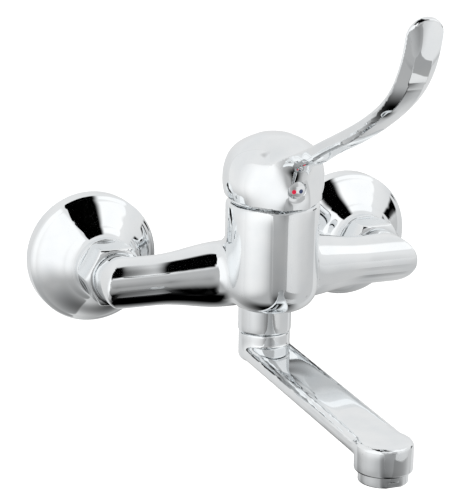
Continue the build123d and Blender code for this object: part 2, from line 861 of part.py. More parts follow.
def lever_stations():
    """Places and cross-section sizes of the free lever, from the dome to the tip."""
    shank_lower = (lever_keel_width, lever_crown, lever_bulge_share)
    stem = (lever_stem_width, lever_stem_depth, lever_stem_flank)
    shank = (lever_width, lever_depth, lever_flank)
    knee = (lever_knee_width, lever_knee_depth, lever_knee_flank, lever_knee_keel_width)
    bend = (lever_bend_width, lever_bend_depth, lever_bend_flank, lever_bend_keel_width)
    pad_shape = (lever_pad_flank, lever_pad_keel_width, lever_crown, lever_flat_bulge_share)
    steps = [
        (lever_shank_run, lever_shank_rise, *shank, *shank_lower),
        (lever_mid_run, lever_mid_rise, *shank, *shank_lower),
        (lever_knee_run, lever_knee_rise, *knee, lever_crown, lever_knee_bulge_share),
        (lever_bend_run, lever_bend_rise, *bend, lever_crown, lever_flat_bulge_share),
        (lever_paddle_run, lever_paddle_rise, lever_pad_width, lever_paddle_depth, *pad_shape),
        (lever_pad_run, lever_pad_rise, lever_pad_width, lever_pad_depth, *pad_shape),
        (lever_tip_run, lever_tip_rise, lever_pad_width, lever_tip_depth, *pad_shape),
    ]
    stations = [(lever_stem_reach, lever_stem_height, *stem, *shank_lower)]
    for run, rise, *sizes in steps:
        reach, height = stations[-1][:2]
        stations.append((reach + run, height + rise, *sizes))
    return stations


def lever_sections():
    """Cross-sections of the free lever, square to its upper line."""
    stations = lever_stations()
    points = [(0, -reach, height) for reach, height, *sizes in stations]
    line = Spline((0, -lever_throat_reach, lever_throat_height), *points)
    sections = []
    for point, (reach, height, *sizes) in zip(points, stations):
        plane = Plane(origin=point, x_dir=(1, 0, 0), z_dir=line % line.param_at_point(point))
        sections.append(lever_section(plane, *sizes))
    return sections, line


def make_lever():
    """Elbow lever with its fanned root, rounded at the tip."""
    free, line = lever_sections()
    throat = throat_sections()
    root = loft(root_sections() + throat[:1])
    lever = root + loft(throat + free)
    tip = Plane(origin=line @ 1, x_dir=(1, 0, 0), z_dir=line % 1)
    radius = lever_pad_width / 2
    size = lever_pad_width + overrun
    block = Pos(0, 0, overrun / 2 - radius / 2) * Box(size, size, radius + overrun)
    post = Pos(0, 0, -radius) * Rot(90, 0, 0) * Cylinder(radius, size + size)
    return lever - tip * (block - post)


def rim_trim():
    """Block below the dome's rim, whose upper face rises towards the back."""
    span = 2 * nose_reach
    lean = math.atan2(dome_rim_back - dome_rim_front, 2 * dome_rim_radius)
    block = Pos(0, 0, -span / 2) * Box(span * 2, span * 2, span)
    middle = (dome_rim_back + dome_rim_front) / 2
    return Pos(0, 0, middle) * Rot(math.degrees(lean), 0, 0) * block


stem_face = button_height * math.tan(tilt) + stem_depth / 2 / math.cos(tilt)
screw_height = pivot_height + button_height
screw_plane = Plane(origin=(0, body_y - stem_face, screw_height), x_dir=(1, 0, 0), z_dir=(0, -1, 0))
face_reach = nose_reach - stem_face
pocket_floor = face_reach - button_thickness + button_proud
grub_start = grub_radius * math.tan(tilt) + running_gap


def make_handle():
    """Handle casting: dome, nose and elbow lever, with its inner boss, socket and screw hole."""
    outer = pivot_axis * (dome_blank() + make_nose() + make_lever())
    outer -= pivot_axis * rim_trim()
    boss_length = dome_top - handle_boss_start
    boss = stem_frame.offset(handle_boss_start) * extrude(Circle(handle_boss_radius), boss_length)
    tunnel = screw_plane * extrude(Circle(handle_tunnel_radius), face_reach)
    handle = outer - (pivot_axis * dome_cavity() - boss - tunnel)
    width = stem_width + 2 * handle_socket_gap
    depth = stem_depth + 2 * handle_socket_gap
    handle -= stem_frame * extrude(Rectangle(width, depth), handle_socket_top)
    handle -= screw_plane * extrude(Circle(grub_radius + thread_gap), face_reach + overrun)
    tool_start = grub_start + grub_length + running_gap
    handle -= screw_plane.offset(tool_start) * extrude(Circle(grub_tool_radius), face_reach)
    pocket = extrude(Circle(button_radius + button_gap), face_reach)
    return handle - screw_plane.offset(pocket_floor) * pocket


def make_grub_screw():
    """Set screw that presses on the stem, with its hexagon socket."""
    body = screw_plane.offset(grub_start) * extrude(Circle(grub_radius), grub_length)
    key = RegularPolygon(grub_key_width / 2, 6, major_radius=False)
    return body - screw_plane.offset(grub_start + grub_length - grub_key_depth) * extrude(key, grub_length)


def make_index_button():
    """Plugged index button with a slightly crowned face."""
    head = Cylinder(button_radius, button_thickness, align=(Align.CENTER, Align.CENTER, Align.MIN))
    head = fillet(head.edges().sort_by(Axis.Z)[-1], button_crown)
    plug = Cylinder(button_plug_radius, button_plug_length, align=(Align.CENTER, Align.CENTER, Align.MAX))
    return screw_plane.offset(pocket_floor) * (head + plug)


union_pieces = [
    ("flange", make_flange()),
    ("union", make_union()),
    ("union_washer", make_washer()),
    ("tail_bush", make_bush()),
    ("union_nut", make_union_nut()),
]
for side, name in ((-half_spacing, "left"), (half_spacing, "right")):
    for piece, shape in union_pieces:
        save(f"{name}_{piece}", Pos(side, 0, 0) * shape)

save("body_casting", make_body())
save("spout_nut", make_spout_nut())
save("spout", make_spout())
save("spout_slide_ring", make_slide_ring())
save("spout_seals", make_spout_seals())
save("aerator_housing", make_aerator_housing())
save("aerator_insert", make_aerator_insert())
save("aerator_washer", make_aerator_washer())
save("cartridge_base", make_cartridge_base())
save("cartridge_base_seals", make_base_seals())
save("fixed_ceramic_disc", make_fixed_disc())
save("moving_ceramic_disc", make_moving_disc())
save("disc_carrier", make_carrier())
save("cartridge_housing", make_housing())
save("cartridge_rotor", make_rotor())
save("stem_pin", make_stem_pin())
save("lever_stem", make_stem())
save("cartridge_nut", make_clamp_nut())
save("cover_ring", make_cover_ring())
save("lever_handle", make_handle())
save("grub_screw", make_grub_screw())
save("index_button", make_index_button())
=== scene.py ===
import logging
import math
from dataclasses import dataclass, field, replace
from enum import Enum

import bpy
import numpy as np
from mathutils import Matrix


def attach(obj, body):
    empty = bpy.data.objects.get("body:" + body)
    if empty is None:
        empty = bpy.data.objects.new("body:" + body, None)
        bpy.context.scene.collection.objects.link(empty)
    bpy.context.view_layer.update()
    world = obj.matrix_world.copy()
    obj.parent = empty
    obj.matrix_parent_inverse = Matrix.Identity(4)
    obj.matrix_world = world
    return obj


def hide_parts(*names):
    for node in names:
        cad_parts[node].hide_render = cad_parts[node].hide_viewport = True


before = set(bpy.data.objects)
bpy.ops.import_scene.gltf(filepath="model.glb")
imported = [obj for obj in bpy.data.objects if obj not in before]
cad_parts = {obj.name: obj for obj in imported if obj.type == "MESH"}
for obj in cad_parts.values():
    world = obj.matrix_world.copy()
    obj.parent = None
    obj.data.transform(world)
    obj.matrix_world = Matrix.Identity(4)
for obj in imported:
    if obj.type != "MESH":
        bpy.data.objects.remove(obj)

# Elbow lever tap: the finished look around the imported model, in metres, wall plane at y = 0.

import openvdb
from mathutils import Matrix, Vector

log = logging.getLogger("elbow_lever_tap")
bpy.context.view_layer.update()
MM = 0.001
PHOTO_WIDTH = 459
PHOTO_HEIGHT = 500
# Half of the distance between the two inlets, in millimetres.
INLET_X_MM = 75.0
# Keeps a division by the length of a vector from failing where that length is nought.
TINY = 1e-12


class Body(Enum):
    """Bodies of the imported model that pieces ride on."""

    FIXED = "fixed"
    SWING = "swing"
    LEVER = "lever"
    DISC = "disc"
    SPOUT_ARM = "spout_arm"


class Axis(Enum):
    """Direction that a turned piece's own axis gets."""

    UPRIGHT = "upright"
    FROM_WALL = "from_wall"


def linear_colour(code: str, strength: float = 1.0) -> tuple[float, float, float, float]:
    """Turn an sRGB hex code to a linear colour.

    Args:
        code: Colour such as "#EDEFF1".
        strength: Factor on the linear values.

    Returns:
        Red, green, blue and alpha.
    """
    parts = [int(code[i:i + 2], 16) / 255 for i in (1, 3, 5)]
    linear = [p / 12.92 if p <= 0.04045 else ((p + 0.055) / 1.055) ** 2.4 for p in parts]
    return (*[value * strength for value in linear], 1.0)


def add_node(tree: bpy.types.NodeTree, kind: str, settings: dict | None = None,
             links: dict | None = None) -> bpy.types.Node:
    """Add a node with its settings and links.

    Args:
        tree: Node tree that gets the node.
        kind: Node type, such as "ShaderNodeMath".
        settings: Node attributes by name, or socket values by socket index or name in a tuple key.
        links: Output sockets by the input they feed, by index or name.

    Returns:
        The new node.
    """
    node = tree.nodes.new(kind)
    for key, value in (settings or {}).items():
        if isinstance(key, tuple):
            node.inputs[key[0]].default_value = value
        else:
            setattr(node, key, value)
    for key, source in (links or {}).items():
        tree.links.new(source, node.inputs[key])
    return node


def blank_material(name: str) -> tuple[bpy.types.Material, bpy.types.NodeTree]:
    """Make a material with an empty node tree.

    Args:
        name: Name of the finish.

    Returns:
        The material and its tree.
    """
    material = bpy.data.materials.new(name)
    material.use_nodes = True
    material.node_tree.nodes.clear()
    return material, material.node_tree


@dataclass(frozen=True)
class EnamelMark:
    """A round spot of enamel let into a plated face. Place and radius in millimetres."""

    colour: str
    place: tuple[float, float, float]
    radius: float
    edge: float = 0.04

    def mask(self, tree: bpy.types.NodeTree, place: bpy.types.NodeSocket) -> bpy.types.NodeSocket:
        """Share of the mark at a place.

        Args:
            tree: Node tree of the material.
            place: Object coordinates.

        Returns:
            Output that is 1 on the mark and 0 off it.
        """
        centre = tuple(v * MM for v in self.place)
        away = add_node(tree, "ShaderNodeVectorMath", {"operation": "DISTANCE", (1,): centre}, {0: place})
        return add_node(tree, "ShaderNodeMapRange",
                        {("From Min",): (self.radius + self.edge) * MM,
                         ("From Max",): (self.radius - self.edge) * MM},
                        {"Value": away.outputs["Value"]}).outputs[0]


@dataclass(frozen=True)
class Finish:
    """A surface as a maker would order it: colour, gloss and the grain of its making.

    Metals keep Blender's own IOR. Grain sizes are real, in millimetres.
    """

    name: str
    colour: str
    metallic: float = 0.0
    roughness: float = 0.4
    roughness_spread: float = 0.04
    grain_mm: float = 1.0
    bump_mm: float = 0.004
    ior: float | None = None
    tint: str | None = None
    tint_share: float = 0.0
    tint_mm: float = 12.0
    turned: bool = False
    turned_stretch: float = 9.0
    grain_range: tuple[float, float] = (0.3, 0.7)
    tint_range: tuple[float, float] = (0.35, 0.7)
    marks: tuple[EnamelMark, ...] = ()

    def build(self) -> bpy.types.Material:
        """Make the material.

        Returns:
            A material on Object coordinates.
        """
        material, tree = blank_material(self.name)
        place = add_node(tree, "ShaderNodeTexCoord")
        stretch = (1.0, 1.0, self.turned_stretch if self.turned else 1.0)
        mapped = add_node(tree, "ShaderNodeMapping", {("Scale",): stretch},
                          {"Vector": place.outputs["Object"]})
        grain = add_node(tree, "ShaderNodeTexNoise",
                         {("Scale",): 1 / (self.grain_mm * MM), ("Detail",): 3.0},
                         {"Vector": mapped.outputs[0]})
        gloss = add_node(tree, "ShaderNodeMapRange",
                         {("From Min",): self.grain_range[0], ("From Max",): self.grain_range[1],
                          ("To Min",): max(self.roughness - self.roughness_spread, 0.0),
                          ("To Max",): self.roughness + self.roughness_spread},
                         {"Value": grain.outputs["Fac"]})
        bump = add_node(tree, "ShaderNodeBump", {("Strength",): 1.0, ("Distance",): self.bump_mm * MM},
                        {"Height": grain.outputs["Fac"]})
        shader = add_node(tree, "ShaderNodeBsdfPrincipled",
                          {("Base Color",): linear_colour(self.colour), ("Metallic",): self.metallic},
                          {"Roughness": gloss.outputs[0], "Normal": bump.outputs[0]})
        if self.ior is not None:
            shader.inputs["IOR"].default_value = self.ior
        if self.tint is not None:
            cloud = add_node(tree, "ShaderNodeTexNoise",
                             {("Scale",): 1 / (self.tint_mm * MM), ("Detail",): 4.0},
                             {"Vector": place.outputs["Object"]})
            share = add_node(tree, "ShaderNodeMapRange",
                             {("From Min",): self.tint_range[0], ("From Max",): self.tint_range[1],
                              ("To Max",): self.tint_share},
                             {"Value": cloud.outputs["Fac"]})
            mixed = add_node(tree, "ShaderNodeMix",
                             {"data_type": "RGBA", (6,): linear_colour(self.colour),
                              (7,): linear_colour(self.tint)}, {0: share.outputs[0]})
            tree.links.new(mixed.outputs[2], shader.inputs["Base Color"])
        for mark in self.marks:
            self.let_in(tree, shader, mark.mask(tree, place.outputs["Object"]), mark.colour)
        add_node(tree, "ShaderNodeOutputMaterial", links={"Surface": shader.outputs[0]})
        return material

    @staticmethod
    def let_in(tree: bpy.types.NodeTree, shader: bpy.types.Node, mask: bpy.types.NodeSocket,
               colour: str) -> None:
        """Lay a mark's colour over the shader's colour and take the metal away under it.

        Args:
            tree: Node tree of the material.
            shader: The surface shader.
            mask: Share of the mark.
            colour: Colour of the enamel.
        """
        under = shader.inputs["Base Color"].links[0].from_socket
        over = add_node(tree, "ShaderNodeMix", {"data_type": "RGBA", (7,): linear_colour(colour)},
                        {0: mask, 6: under})
        tree.links.new(over.outputs[2], shader.inputs["Base Color"])
        metal = shader.inputs["Metallic"]
        bare = add_node(tree, "ShaderNodeMath", {"operation": "SUBTRACT", (0,): 1.0}, {1: mask})
        kept = add_node(tree, "ShaderNodeMath", {"operation": "MULTIPLY", (1,): metal.default_value},
                        {0: bare.outputs[0]})
        if metal.links:
            tree.links.new(metal.links[0].from_socket, kept.inputs[1])
        tree.links.new(kept.outputs[0], metal)


# Bright chrome plate on buffed brass: a mirror with a cool cast, whose haze and waves are only just there.
BRIGHT_CHROME = Finish("bright_chrome_plate", "#F4F6F7", metallic=1.0, roughness=0.03,
                       roughness_spread=0.012, grain_mm=2.5, bump_mm=0.0006, tint="#E9EDF0", tint_share=0.6)
# Turned brass left plain inside: warm yellow, satin, with tool marks round it.
PLAIN_BRASS = Finish("turned_brass", "#C9A24E", metallic=1.0, roughness=0.28, roughness_spread=0.06,
                     grain_mm=0.5, bump_mm=0.01, tint="#A8813A", tint_share=0.4, tint_mm=6, turned=True)
# Nitrile rubber: near black, matt, with a fine moulded skin.
SEAL_RUBBER = Finish("nitrile_rubber", "#1B1B1C", roughness=0.62, roughness_spread=0.08, grain_mm=0.35,
                     bump_mm=0.01, ior=1.52, tint="#2A2A2B", tint_share=0.5, tint_mm=3)
# Acetal, moulded: milky white with a soft sheen.
WHITE_ACETAL = Finish("white_acetal", "#ECEBE6", roughness=0.34, roughness_spread=0.05, grain_mm=0.6,
                      bump_mm=0.006, ior=1.48, tint="#DFDED8", tint_share=0.4, tint_mm=5)
# Lapped alumina: off-white, with a fine dry sheen.
LAPPED_CERAMIC = Finish("lapped_alumina", "#EFEDE8", roughness=0.2, roughness_spread=0.05, grain_mm=0.4,
                        bump_mm=0.003, ior=1.76, tint="#E2DFD8", tint_share=0.4, tint_mm=4)
# Turned stainless steel: grey, satin, with fine tool rings.
TURNED_STEEL = Finish("turned_stainless_steel", "#B9BBBD", metallic=1.0, roughness=0.24,
                      roughness_spread=0.06, grain_mm=0.4, bump_mm=0.006, tint="#9FA2A5", tint_share=0.3,
                      tint_mm=5, turned=True)
# The index cap: bright chrome with a red spot of enamel on the hot side and a blue one on the cold side.
INDEX_CAP = replace(BRIGHT_CHROME, name="chrome_cap_with_enamel", marks=(
    EnamelMark("#D3163F", (-1.9, -105.2, 54.2), 1.15),
    EnamelMark("#27365E", (1.9, -105.2, 54.2), 1.15)))


@dataclass
class Workshop:
    """Makes each finish once and dresses pieces with it."""

    made: dict[str, bpy.types.Material] = field(default_factory=dict)

    def material(self, finish: Finish) -> bpy.types.Material:
        """Give the material of a finish, made when first asked for.

        Args:
            finish: The finish.

        Returns:
            Its material.
        """
        if finish.name not in self.made:
            self.made[finish.name] = finish.build()
        return self.made[finish.name]

    def dress(self, piece: bpy.types.Object, *finishes: Finish) -> None:
        """Give a piece its finishes.

        Args:
            piece: The piece.
            finishes: One finish for each of its material slots, in their order.
        """
        piece.data.materials.clear()
        for finish in finishes:
            piece.data.materials.append(self.material(finish))

    def settle(self, piece: bpy.types.Object, body: Body, slot: str, *nodes: str) -> None:
        """Hand a finished piece to its body.

        Args:
            piece: The finished piece.
            body: Body that it moves with.
            slot: Material slot of the record; not used.
            nodes: CAD nodes that it stands for.
        """
        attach(piece, body.value)
        if nodes:
            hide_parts(*nodes)
        log.info("%s rides on %s, %d faces", piece.name, body.value, len(piece.data.polygons))


WORKSHOP = Workshop()


def new_piece(name: str, points: np.ndarray, faces: list | np.ndarray) -> bpy.types.Object:
    """Make a mesh object from points and faces.

    Args:
        name: Piece name.
        points: Corner places in metres.
        faces: Corner numbers of each face.

    Returns:
        The object, linked to the scene.
    """
    mesh = bpy.data.meshes.new(name)
    mesh.from_pydata([tuple(p) for p in points], [], [tuple(int(i) for i in f) for f in faces])
    mesh.update()
    piece = bpy.data.objects.new(name, mesh)
    bpy.context.scene.collection.objects.link(piece)
    return piece


def flat_sheet(name: str, half_width: float, half_height: float, z: float = 0.0) -> bpy.types.Object:
    """Make a level rectangle of one face.

    Args:
        name: Name of the sheet.
        half_width: Half its length along X, in metres.
        half_height: Half its length along Y, in metres.
        z: Its height, in metres.

    Returns:
        The sheet, linked to the scene.
    """
    w, h = half_width, half_height
    return new_piece(name, np.array([(-w, -h, z), (w, -h, z), (w, h, z), (-w, h, z)]), [(0, 1, 2, 3)])


def cad_triangles(node: str) -> tuple[np.ndarray, np.ndarray]:
    """Merged corners and triangles of a CAD node.

    Args:
        node: CAD node name.

    Returns:
        Corner places in millimetres, and corner numbers of each triangle.
    """
    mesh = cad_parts[node].data
    places = np.zeros(len(mesh.vertices) * 3, np.float32)
    mesh.vertices.foreach_get("co", places)
    mesh.calc_loop_triangles()
    corners = np.zeros(len(mesh.loop_triangles) * 3, np.int32)
    mesh.loop_triangles.foreach_get("vertices", corners)
    merged, number = np.unique(np.round(places.reshape(-1, 3) / MM, 4), axis=0, return_inverse=True)
    triangles = number.reshape(-1)[corners].reshape(-1, 3)
    whole = (triangles != np.roll(triangles, 1, axis=1)).all(axis=1)
    return merged, triangles[whole]


def blurred(values: np.ndarray, spread: float) -> np.ndarray:
    """Smooth a block of numbers with a bell curve.

    Args:
        values: Three-dimensional block.
        spread: Width of the bell in cells.

    Returns:
        The smoothed block.
    """
    reach = max(1, int(math.ceil(3 * spread)))
    steps = np.arange(-reach, reach + 1)
    weights = np.exp(-0.5 * (steps / spread) ** 2)
    weights /= weights.sum()
    for axis in range(3):
        total = np.zeros_like(values)
        for step, weight in zip(steps, weights):
            total += weight * np.roll(values, step, axis=axis)
        values = total
    return values


def face_normals(points: np.ndarray, quads: np.ndarray) -> np.ndarray:
    """Area-weighted normals of four-cornered faces.

    Args:
        points: Corner places.
        quads: Corner numbers of each face.

    Returns:
        A normal for each face, as long as twice its area.
    """
    across = points[quads[:, 2]] - points[quads[:, 0]]
    other = points[quads[:, 3]] - points[quads[:, 1]]
    return np.cross(across, other)


def corner_normals(points: np.ndarray, quads: np.ndarray) -> np.ndarray:
    """Area-weighted unit normal of each corner.

    Args:
        points: Corner places.
        quads: Corner numbers of each face.

    Returns:
        A unit normal for each corner.
    """
    flat = face_normals(points, quads)
    normals = np.zeros_like(points)
    for corner in range(4):
        for axis in range(3):
            normals[:, axis] += np.bincount(quads[:, corner], flat[:, axis], len(points))
    return normals / (np.linalg.norm(normals, axis=1, keepdims=True) + TINY)


def evened(normals: np.ndarray, quads: np.ndarray, rounds: int,
           edge_degrees: np.ndarray) -> np.ndarray:
    """Even out normals along faces and fillets, and keep them apart across edges.

    Args:
        normals: A unit normal for each corner.
        quads: Corner numbers of each face.
        rounds: How often neighbours are averaged.
        edge_degrees: Turn at which two neighbours no longer count as one surface, for each corner.

    Returns:
        The evened unit normals.
    """
    pairs = np.concatenate([quads[:, [0, 1]], quads[:, [1, 2]], quads[:, [2, 3]], quads[:, [3, 0]]])
    first, second = pairs[:, 0], pairs[:, 1]
    limit = 1 - np.cos(np.radians(edge_degrees[first]))
    for _ in range(rounds):
        turn = 1 - (normals[first] * normals[second]).sum(axis=1)
        weight = np.exp(-((turn / limit) ** 2))
        total = normals.copy()
        for axis in range(3):
            total[:, axis] += np.bincount(first, weight * normals[second, axis], len(normals))
        normals = total / (np.linalg.norm(total, axis=1, keepdims=True) + TINY)
    return normals


@dataclass
class PolishedCasting:
    """A casting taken from its CAD node and buffed: edges eased and surfaces even."""

    node: str
    body: Body
    cell_mm: float = 0.6
    ease_mm: float = 0.35
    rounds: int = 24
    edge_rounds: int = 6
    edge_degrees: float = 40.0
    face_degrees: float = 7.0
    soft_from_mm: float = 0.0
    soft_blend_mm: float = 4.0
    soft_degrees: float = 16.0
    band: int = 6

    def normals(self, points: np.ndarray, quads: np.ndarray) -> np.ndarray:
        """Normals as buffing leaves them: edges drawn round first, then the faces between them evened.

        The forms next to the body, from soft_from_mm on towards the wall, run into each other more softly.

        Args:
            points: Corner places in millimetres.
            quads: Corner numbers of each face.

        Returns:
            A unit normal for each corner.
        """
        edged = evened(corner_normals(points, quads), quads, self.edge_rounds,
                       np.full(len(points), self.edge_degrees))
        share = np.clip((points[:, 1] - self.soft_from_mm) / self.soft_blend_mm + 0.5, 0.0, 1.0)
        turn = self.face_degrees + (self.soft_degrees - self.face_degrees) * share
        return evened(edged, quads, self.rounds, turn)

    def shell(self) -> tuple[np.ndarray, np.ndarray]:
        """Closed surface of the eased casting.

        Returns:
            Corner places in millimetres, and four corner numbers for each face.
        """
        points, triangles = cad_triangles(self.node)
        transform = openvdb.createLinearTransform(voxelSize=self.cell_mm)
        grid = openvdb.FloatGrid.createLevelSetFromPolygons(
            points.astype(np.float32), triangles=triangles.astype(np.uint32), transform=transform,
            halfWidth=self.band)
        low, high = grid.evalActiveVoxelBoundingBox()
        low = tuple(int(v) - self.band for v in low)
        size = [int(h) + self.band - v + 1 for h, v in zip(high, low)]
        depth = np.zeros(size, np.float32)
        grid.copyToArray(depth, ijk=low)
        depth = blurred(depth, self.ease_mm / self.cell_mm)
        eased = openvdb.FloatGrid(background=self.band * self.cell_mm)
        eased.copyFromArray(depth, ijk=low, tolerance=0)
        eased.transform = transform
        corners, _, quads = eased.convertToPolygons(0, 0)
        corners = np.asarray(corners, float)
        quads = np.asarray(quads, np.int64)
        volume = (corners[quads[:, 0]] * face_normals(corners, quads)).sum()
        return corners, quads if volume > 0 else quads[:, ::-1]

    def build(self) -> bpy.types.Object:
        """Make the casting and hand it to its body.

        Returns:
            The finished piece.
        """
        corners, quads = self.shell()
        normals = self.normals(corners, quads)
        piece = new_piece(f"{self.node}_polished", corners * MM, quads)
        piece.data.shade_smooth()
        piece.data.normals_split_custom_set_from_vertices([tuple(n) for n in normals])
        WORKSHOP.dress(piece, BRIGHT_CHROME)
        WORKSHOP.settle(piece, self.body, "chrome_plate", self.node)
        return piece


def lathe_tree() -> bpy.types.NodeTree:
    """Geometry Nodes tree that turns a profile round the upright axis.

    The profile comes as points with their radius in x and height in z.

    Returns:
        The tree, with inputs for the number of profile points, the steps round and the finish.
    """
    tree = bpy.data.node_groups.new("turned_profile", "GeometryNodeTree")
    for name, way, kind in (
            ("Profile", "INPUT", "Geometry"), ("Profile points", "INPUT", "Int"),
            ("Steps round", "INPUT", "Int"), ("Finish", "INPUT", "Material"),
            ("Turned piece", "OUTPUT", "Geometry")):
        tree.interface.new_socket(name, in_out=way, socket_type=f"NodeSocket{kind}")
    given = add_node(tree, "NodeGroupInput")
    rows = add_node(tree, "ShaderNodeMath", {"operation": "ADD", (1,): 1.0},
                    {0: given.outputs["Steps round"]})
    grid = add_node(tree, "GeometryNodeMeshGrid", links={"Vertices X": given.outputs["Profile points"],
                                                         "Vertices Y": rows.outputs[0]})
    index = add_node(tree, "GeometryNodeInputIndex")
    column = add_node(tree, "ShaderNodeMath", {"operation": "DIVIDE"},
                      {0: index.outputs[0], 1: rows.outputs[0]})
    whole = add_node(tree, "ShaderNodeMath", {"operation": "FLOOR"}, {0: column.outputs[0]})
    row = add_node(tree, "ShaderNodeMath", {"operation": "FLOORED_MODULO"},
                   {0: index.outputs[0], 1: rows.outputs[0]})
    place = add_node(tree, "GeometryNodeInputPosition")
    sample = add_node(tree, "GeometryNodeSampleIndex", {"data_type": "FLOAT_VECTOR"},
                      {"Geometry": given.outputs["Profile"], "Value": place.outputs[0],
                       "Index": whole.outputs[0]})
    split = add_node(tree, "ShaderNodeSeparateXYZ", links={0: sample.outputs[0]})
    share = add_node(tree, "ShaderNodeMath", {"operation": "DIVIDE"},
                     {0: row.outputs[0], 1: given.outputs["Steps round"]})
    angle = add_node(tree, "ShaderNodeMath", {"operation": "MULTIPLY", (1,): math.tau},
                     {0: share.outputs[0]})
    sides = []
    for operation in ("COSINE", "SINE"):
        part = add_node(tree, "ShaderNodeMath", {"operation": operation}, {0: angle.outputs[0]})
        sides.append(add_node(tree, "ShaderNodeMath", {"operation": "MULTIPLY"},
                              {0: part.outputs[0], 1: split.outputs["X"]}))
    spot = add_node(tree, "ShaderNodeCombineXYZ", links={0: sides[0].outputs[0], 1: sides[1].outputs[0],
                                                         2: split.outputs["Z"]})
    turned = add_node(tree, "GeometryNodeSetPosition", links={"Geometry": grid.outputs["Mesh"],
                                                              "Position": spot.outputs[0]})
    merged = add_node(tree, "GeometryNodeMergeByDistance", {("Distance",): 0.002 * MM},
                      {"Geometry": turned.outputs[0]})
    real = add_node(tree, "GeometryNodeRealizeInstances", links={"Geometry": merged.outputs[0]})
    dressed = add_node(tree, "GeometryNodeSetMaterial", links={"Geometry": real.outputs[0],
                                                               "Material": given.outputs["Finish"]})
    add_node(tree, "NodeGroupOutput", links={0: dressed.outputs[0]})
    return tree


def evaluated_piece(name: str, source: bpy.types.Object, tree: bpy.types.NodeTree,
                    inputs: dict) -> bpy.types.Object:
    """Run a Geometry Nodes tree on an object and keep the result as a plain mesh.

    Args:
        name: Name of the new piece.
        source: Object that the tree works on, removed afterwards.
        tree: The Geometry Nodes tree.
        inputs: Values of the tree's inputs by their names.

    Returns:
        The new piece.
    """
    modifier = source.modifiers.new("tree", "NODES")
    modifier.node_group = tree
    for item in tree.interface.items_tree:
        if item.in_out == "INPUT" and item.name in inputs:
            modifier[item.identifier] = inputs[item.name]
    bpy.context.view_layer.update()
    graph = bpy.context.evaluated_depsgraph_get()
    mesh = bpy.data.meshes.new_from_object(source.evaluated_get(graph), depsgraph=graph)
    source.modifiers.remove(modifier)
    bpy.data.objects.remove(source)
    mesh.name = name
    piece = bpy.data.objects.new(name, mesh)
    bpy.context.scene.collection.objects.link(piece)
    return piece


def smooth_by_angle(piece: bpy.types.Object, degrees: float) -> None:
    """Shade a piece smooth but for its sharp edges.

    Args:
        piece: The piece.
        degrees: Turn from which an edge counts as sharp.
    """
    piece.data.shade_smooth()
    piece.data.set_sharp_from_angle(angle=math.radians(degrees))


def outward(piece: bpy.types.Object) -> None:
    """Turn the faces of a closed piece outwards by the sign of its volume.

    Args:
        piece: The closed piece.
    """
    mesh = piece.data
    mesh.calc_loop_triangles()
    volume = 0.0
    for triangle in mesh.loop_triangles:
        a, b, c = (mesh.vertices[i].co for i in triangle.vertices)
        volume += a.dot(b.cross(c))
    if volume < 0:
        mesh.flip_normals()


def rounded(points: list[tuple[float, float, float]], steps: int = 8) -> list[tuple[float, float]]:
    """Round the corners of a profile.

    Args:
        points: Radius, height and corner round of each point, in millimetres.
        steps: Points on each rounded corner.

    Returns:
        Radius and height of each point of the rounded profile.
    """
    line = []
    for number, (x, z, reach) in enumerate(points):
        here = Vector((x, z))
        if reach <= 0 or number in (0, len(points) - 1):
            line.append((x, z))
            continue
        before = (Vector(points[number - 1][:2]) - here).normalized()
        after = (Vector(points[number + 1][:2]) - here).normalized()
        half = before.angle(after) / 2
        start = reach / math.tan(half)
        centre = here + (before + after).normalized() * (reach / math.sin(half))
        first = here + before * start - centre
        last = here + after * start - centre
        sweep = first.angle_signed(last)
        for step in range(steps + 1):
            turn = Matrix.Rotation(-sweep * step / steps, 2)
            line.append(tuple(centre + turn @ first))
    return line


@dataclass
class TurnedPiece:
    """A piece turned on a lathe, made by the lathe tree."""

    name: str
    node: str
    body: Body
    profile: list[tuple[float, float]]
    axis: Axis
    centre: tuple[float, float, float]
    finish: Finish = BRIGHT_CHROME
    slot: str = "chrome_plate"
    steps: int = 160
    edge_degrees: float = 40.0

    def build(self, tree: bpy.types.NodeTree) -> bpy.types.Object:
        """Turn the profile, place it and hand it to its body.

        Args:
            tree: The lathe tree.

        Returns:
            The finished piece.
        """
        line = [(x * MM, 0.0, z * MM) for x, z in [*self.profile, self.profile[0]]]
        source = new_piece("profile", np.array(line), [])
        piece = evaluated_piece(self.name, source, tree, {
            "Profile points": len(line), "Steps round": self.steps,
            "Finish": WORKSHOP.material(self.finish)})
        if self.axis is Axis.FROM_WALL:
            piece.data.transform(Matrix.Rotation(math.radians(90), 4, "X"))
        piece.data.transform(Matrix.Translation(Vector(self.centre) * MM))
        outward(piece)
        smooth_by_angle(piece, self.edge_degrees)
        WORKSHOP.settle(piece, self.body, self.slot, self.node)
        return piece


